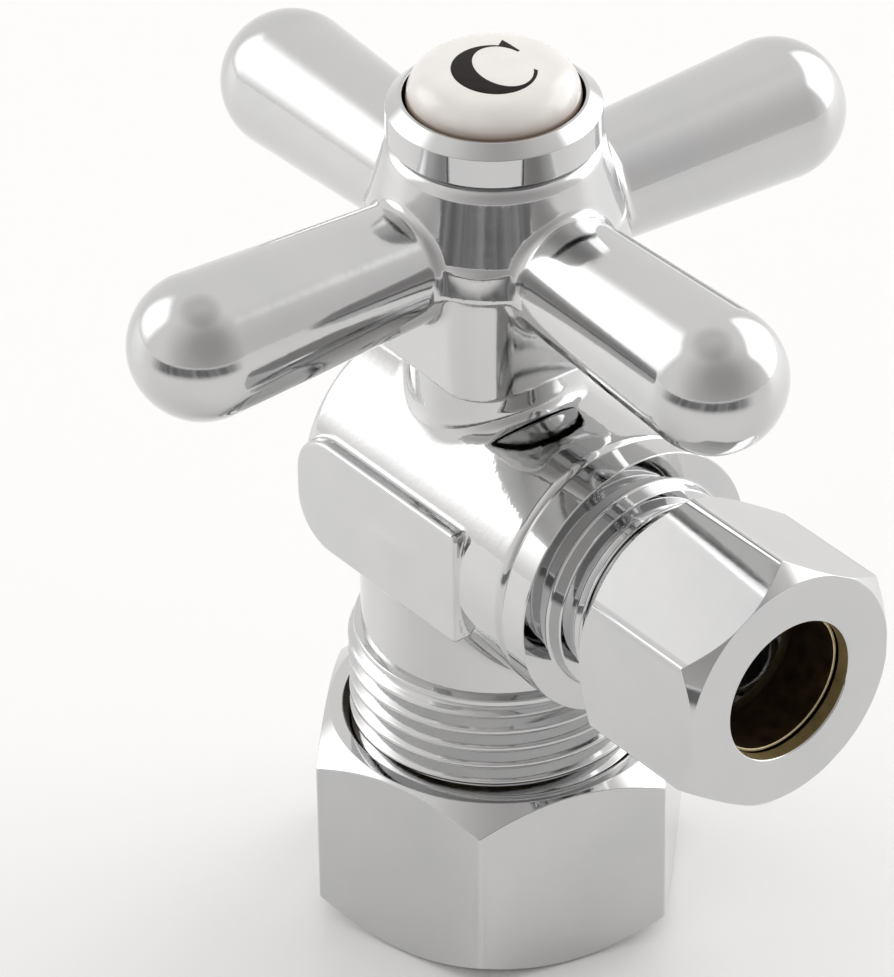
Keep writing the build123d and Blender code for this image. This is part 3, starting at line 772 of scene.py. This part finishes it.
# The letter is a plain serif C: a strip between two ellipses, ending in a pointed serif.
LETTER_TURN = math.radians(76.8)
BOWL_CENTRE, BOWL_SIZE = (-0.2, -0.52), (2.75, 2.96)
COUNTER_CENTRE, COUNTER_SIZE = (0.45, -0.46), (1.83, 2.54)
STROKE_START, SERIF_ROOT = math.radians(-27), math.radians(57)
STROKE_END, COUNTER_END = math.radians(62), math.radians(24)
SERIF_TOP, SERIF_POINT = np.array([1.86, 2.58]), np.array([2.25, 0.78])
SERIF_TOP_SHARE = 0.25
BOWL_STEPS, SERIF_STEPS, LETTER_ACROSS = 72, 12, 8
LETTER_PROUD, LETTER_DEEP = 0.015, 0.03


def on_ellipse(centre, size, angle):
    """Point of an upright ellipse."""
    return np.array([centre[0] + size[0] * math.cos(angle), centre[1] + size[1] * math.sin(angle)])


def letter_stations():
    """Pairs of points, outer and inner, along the letter from its stroke's start to the serif."""
    stations = []
    start = 2 * math.pi + STROKE_START
    for k in range(BOWL_STEPS + 1):
        share = k / BOWL_STEPS
        stations.append((
            on_ellipse(BOWL_CENTRE, BOWL_SIZE, start + share * (SERIF_ROOT - start)),
            on_ellipse(COUNTER_CENTRE, COUNTER_SIZE, start + share * (STROKE_END - start)),
        ))
    root = stations[-1][0]
    for k in range(1, SERIF_STEPS):
        share = k / SERIF_STEPS
        if share <= SERIF_TOP_SHARE:
            outer = root + (SERIF_TOP - root) * share / SERIF_TOP_SHARE
        else:
            fall = (share - SERIF_TOP_SHARE) / (1 - SERIF_TOP_SHARE)
            outer = SERIF_TOP + (SERIF_POINT - SERIF_TOP) * fall
        angle = STROKE_END + share * (COUNTER_END - STROKE_END)
        stations.append((outer, on_ellipse(COUNTER_CENTRE, COUNTER_SIZE, angle)))
    stations.append((SERIF_POINT, SERIF_POINT))
    return stations


def inlay(stations, turn):
    """The letter as a thin slab that follows the porcelain's crown."""
    c, s = math.cos(turn), math.sin(turn)
    top, under = [], []
    for outer, inner in stations:
        for m in range(LETTER_ACROSS + 1):
            flat_x, flat_y = outer + (inner - outer) * m / LETTER_ACROSS
            x, y = flat_x * c - flat_y * s, flat_x * s + flat_y * c
            height = glaze_height(math.hypot(x, y))
            top.append((x, y, height + LETTER_PROUD))
            under.append((x, y, height - LETTER_DEEP))
    width, below = LETTER_ACROSS + 1, len(top)
    quads = []
    for k in range(len(stations) - 1):
        for m in range(LETTER_ACROSS):
            a, b = k * width + m, (k + 1) * width + m
            quads.append((a, b, b + 1, a + 1))
            quads.append((below + a, below + a + 1, below + b + 1, below + b))
        a, b = k * width, (k + 1) * width
        quads.append((a, below + a, below + b, b))
        a, b = a + LETTER_ACROSS, b + LETTER_ACROSS
        quads.append((a, b, below + b, below + a))
    for m in range(LETTER_ACROSS):
        quads.append((m, m + 1, below + m + 1, below + m))
    slab = np.array(top + under)
    points, _, faces = weld(slab, np.zeros_like(slab), np.array(quads))
    return points, averaged_normals(points, faces), faces


make_piece("index_letter_inlay", "index_button", inlay(letter_stations(), LETTER_TURN), enamel,
           ["index_letter"])

# ---------------------------------------------------------------- CAD pieces that stay as they are

KEPT = {
    "ball": nickel_ball, "outlet_seat": seat_plastic, "back_seat": seat_plastic, "stem": brass,
    "stem_thrust_washer": seat_plastic, "stem_o_ring_lower": rubber, "stem_o_ring_upper": rubber,
    "stop_washer": steel, "adapter_washer": fibre, "screw_washer": steel, "handle_screw": steel,
}
for node, material in KEPT.items():
    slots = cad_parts[node].data.materials
    slots.clear()
    slots.append(material)

# ---------------------------------------------------------------- floor, light and camera

# Lengths of the studio are in metres, and its angles in degrees.
FLOOR_HALF, FLOOR_Z = 3.0, -0.0001
FLOOR_COLOUR, FLOOR_ROUGH = (0.965, 0.965, 0.962, 1), 0.38


def sheet(name, low_x, high_x, half_y, z):
    """Flat rectangle of the studio, not part of the valve."""
    mesh = bpy.data.meshes.new(name)
    corners = [(low_x, -half_y, 0), (high_x, -half_y, 0), (high_x, half_y, 0), (low_x, half_y, 0)]
    mesh.from_pydata(corners, [], [(0, 1, 2, 3)])
    flat = bpy.data.objects.new(name, mesh)
    flat.location = (0, 0, z)
    bpy.context.scene.collection.objects.link(flat)
    return flat


floor = sheet("studio_floor", -FLOOR_HALF, FLOOR_HALF, FLOOR_HALF, FLOOR_Z)
floor_paint, _, _, floor_shader, _ = node_material("white_paper")
floor_shader.inputs["Base Color"].default_value = FLOOR_COLOUR
floor_shader.inputs["Roughness"].default_value = FLOOR_ROUGH
floor.data.materials.append(floor_paint)


def heading(azimuth, elevation):
    """Unit vector towards a place in the studio; azimuth is measured from +X towards +Y."""
    a, e = math.radians(azimuth), math.radians(elevation)
    return Vector((math.cos(a) * math.cos(e), math.sin(a) * math.cos(e), math.sin(e)))


def math_node(nodes, links, operation, a, b=None):
    """Result of a Math node on one or two linked values."""
    node = nodes.new("ShaderNodeMath")
    node.operation = operation
    links.new(a, node.inputs[0])
    if b is not None:
        links.new(b, node.inputs[1])
    return node.outputs["Value"]


class Studio:
    """Surrounding room as a sum of soft patches over an even tone, by direction only."""

    LEAST_DEPTH = 0.05

    def __init__(self, base):
        world = bpy.data.worlds.new("studio")
        bpy.context.scene.world = world
        world.use_nodes = True
        self.nodes, self.links = world.node_tree.nodes, world.node_tree.links
        self.aim = self.nodes.new("ShaderNodeTexCoord").outputs["Generated"]
        tone = self.nodes.new("ShaderNodeCombineXYZ")
        for k in range(3):
            tone.inputs[k].default_value = base[k]
        self.total = tone.outputs["Vector"]

    def dot(self, direction):
        """Cosine of the angle between a view and a direction."""
        node = self.nodes.new("ShaderNodeVectorMath")
        node.operation = "DOT_PRODUCT"
        node.inputs[1].default_value = direction
        self.links.new(self.aim, node.inputs[0])
        return node.outputs["Value"]

    def math(self, operation, a, b=None):
        return math_node(self.nodes, self.links, operation, a, b)

    def fade(self, value, start, stop):
        return soft_ranged(self.nodes, self.links, value, 0, 1, start, stop)

    def add(self, share, change):
        """Adds a change of light in proportion to a share."""
        scale = self.nodes.new("ShaderNodeVectorMath")
        scale.operation = "SCALE"
        scale.inputs[0].default_value = change
        self.links.new(share, scale.inputs["Scale"])
        add = self.nodes.new("ShaderNodeVectorMath")
        add.operation = "ADD"
        self.links.new(self.total, add.inputs[0])
        self.links.new(scale.outputs["Vector"], add.inputs[1])
        self.total = add.outputs["Vector"]

    def spot(self, azimuth, elevation, inner, outer, change):
        """Round patch that fades from its inner to its outer angle, in degrees."""
        near = self.dot(heading(azimuth, elevation))
        start, stop = math.cos(math.radians(outer)), math.cos(math.radians(inner))
        self.add(self.fade(near, start, stop), change)

    def panel(self, azimuth, elevation, half_width, half_height, edge, change):
        """Rectangular softbox with soft edges; its half sizes are angles."""
        out = heading(azimuth, elevation)
        aside = heading(azimuth + 90, 0)
        rise = out.cross(aside)
        depth = self.math("MAXIMUM", self.dot(out))
        depth.node.inputs[1].default_value = self.LEAST_DEPTH
        share = None
        for axis, half in ((aside, half_width), (rise, half_height)):
            offset = self.math("ABSOLUTE", self.math("DIVIDE", self.dot(axis), depth))
            outer, inner = math.radians(half + edge), math.radians(max(half - edge, 1))
            part = self.fade(offset, math.tan(outer), math.tan(inner))
            share = part if share is None else self.math("MULTIPLY", share, part)
        self.add(share, change)

    def finish(self):
        """Lights the room with the sum."""
        background = next(n for n in self.nodes if n.type == "BACKGROUND")
        self.links.new(self.total, background.inputs["Color"])
        background.inputs["Strength"].default_value = 1.0


SOFTBOX_LIGHT = (1.75, 1.75, 1.75)
studio = Studio(base=(0.965, 0.95, 0.94))
# The dim room behind the camera, a darker core in it, and a dim patch overhead.
studio.spot(azimuth=-25, elevation=15, inner=15, outer=80, change=(-0.43, -0.43, -0.425))
studio.spot(azimuth=-22, elevation=33, inner=0, outer=40, change=(-0.09, -0.09, -0.09))
studio.spot(azimuth=-80, elevation=88, inner=10, outer=34, change=(-0.24, -0.24, -0.24))
# Softboxes to the camera's left and right, both a little behind the valve.
studio.panel(azimuth=-149, elevation=26, half_width=16, half_height=18, edge=10, change=SOFTBOX_LIGHT)
studio.panel(azimuth=82, elevation=18, half_width=28, half_height=27, edge=7, change=SOFTBOX_LIGHT)
studio.finish()

BAND_Z = 0.0004
BAND_COLOUR, BAND_ROUGH = (0.10, 0.10, 0.105, 1), 0.8
STREAK_SCALE, STREAK_DETAIL, STREAK_LEAST = 7.0, 3.0, 0.72


def dark_band(name, azimuth, half_angle, edge_angle, near, far, edge, strength):
    """Soft dark arc on the table, from one distance to another, seen only in the chrome."""
    band = sheet(name, 0, far + edge, far + edge, BAND_Z)
    band.rotation_euler = (0, 0, math.radians(azimuth))
    band.visible_camera = False
    band.visible_shadow = False
    band.visible_diffuse = False
    paper, nodes, links, shader, place = node_material(name)
    apart = nodes.new("ShaderNodeSeparateXYZ")
    links.new(place, apart.inputs[0])

    def combined(operation, a, b=None):
        return math_node(nodes, links, operation, a, b)

    def fade(value, start, stop, high=1.0):
        return soft_ranged(nodes, links, value, 0, high, start, stop)

    length = nodes.new("ShaderNodeVectorMath")
    length.operation = "LENGTH"
    links.new(place, length.inputs[0])
    distance = length.outputs["Value"]
    bearing = combined("ARCTAN2", apart.outputs["Y"], apart.outputs["X"])
    streaks = nodes.new("ShaderNodeTexNoise")
    streaks.noise_dimensions = "1D"
    streaks.inputs["Scale"].default_value = STREAK_SCALE
    streaks.inputs["Detail"].default_value = STREAK_DETAIL
    links.new(bearing, streaks.inputs["W"])
    patchy = ranged(nodes, links, streaks.outputs["Fac"], STREAK_LEAST, 1.0, 0.35, 0.6)
    sideways = fade(combined("ABSOLUTE", bearing), math.radians(half_angle + edge_angle),
                    math.radians(half_angle - edge_angle), strength)
    near_edge = fade(distance, near - edge / 3, near + edge / 3)
    outwards = combined("MULTIPLY", near_edge, fade(distance, far + edge, far - edge))
    shape = combined("MULTIPLY", sideways, outwards)
    links.new(combined("MULTIPLY", shape, patchy), shader.inputs["Alpha"])
    shader.inputs["Base Color"].default_value = BAND_COLOUR
    shader.inputs["Roughness"].default_value = BAND_ROUGH
    shader.inputs["Specular IOR Level"].default_value = 0.0
    band.data.materials.append(paper)


dark_band("table_edge", azimuth=-48, half_angle=56, edge_angle=14, near=0.19, far=0.95, edge=0.15,
          strength=0.92)

# The camera's direction, and its distances in millimetres.
CAMERA_AZIMUTH, CAMERA_ELEVATION = math.radians(51.943), math.radians(34.968)
CAMERA_ROLL = math.radians(-0.943)
CAMERA_DISTANCE, CAMERA_SIDE, CAMERA_RISE = 457.908, 3.8485, -26.0822
LENS_MM, SENSOR_MM = 242.4, 36.0
CLIP_NEAR, CLIP_FAR = 0.01, 50

back = Vector((math.sin(CAMERA_AZIMUTH) * math.cos(CAMERA_ELEVATION),
               -math.cos(CAMERA_AZIMUTH) * math.cos(CAMERA_ELEVATION), math.sin(CAMERA_ELEVATION)))
level = Vector((math.cos(CAMERA_AZIMUTH), math.sin(CAMERA_AZIMUTH), 0))
upright = back.cross(level)
right = level * math.cos(CAMERA_ROLL) + upright * math.sin(CAMERA_ROLL)
up = upright * math.cos(CAMERA_ROLL) - level * math.sin(CAMERA_ROLL)
lens = bpy.data.cameras.new("camera")
lens.lens = LENS_MM
lens.sensor_width = SENSOR_MM
lens.clip_start, lens.clip_end = CLIP_NEAR, CLIP_FAR
camera = bpy.data.objects.new("camera", lens)
camera_place = (back * CAMERA_DISTANCE - right * CAMERA_SIDE - up * CAMERA_RISE) * MM
camera_turn = Matrix((right, up, back)).transposed()
camera.matrix_world = Matrix.Translation(camera_place) @ camera_turn.to_4x4()
bpy.context.scene.collection.objects.link(camera)
bpy.context.scene.camera = camera

view = bpy.context.scene.view_settings
view.view_transform = "Standard"
view.look = "None"
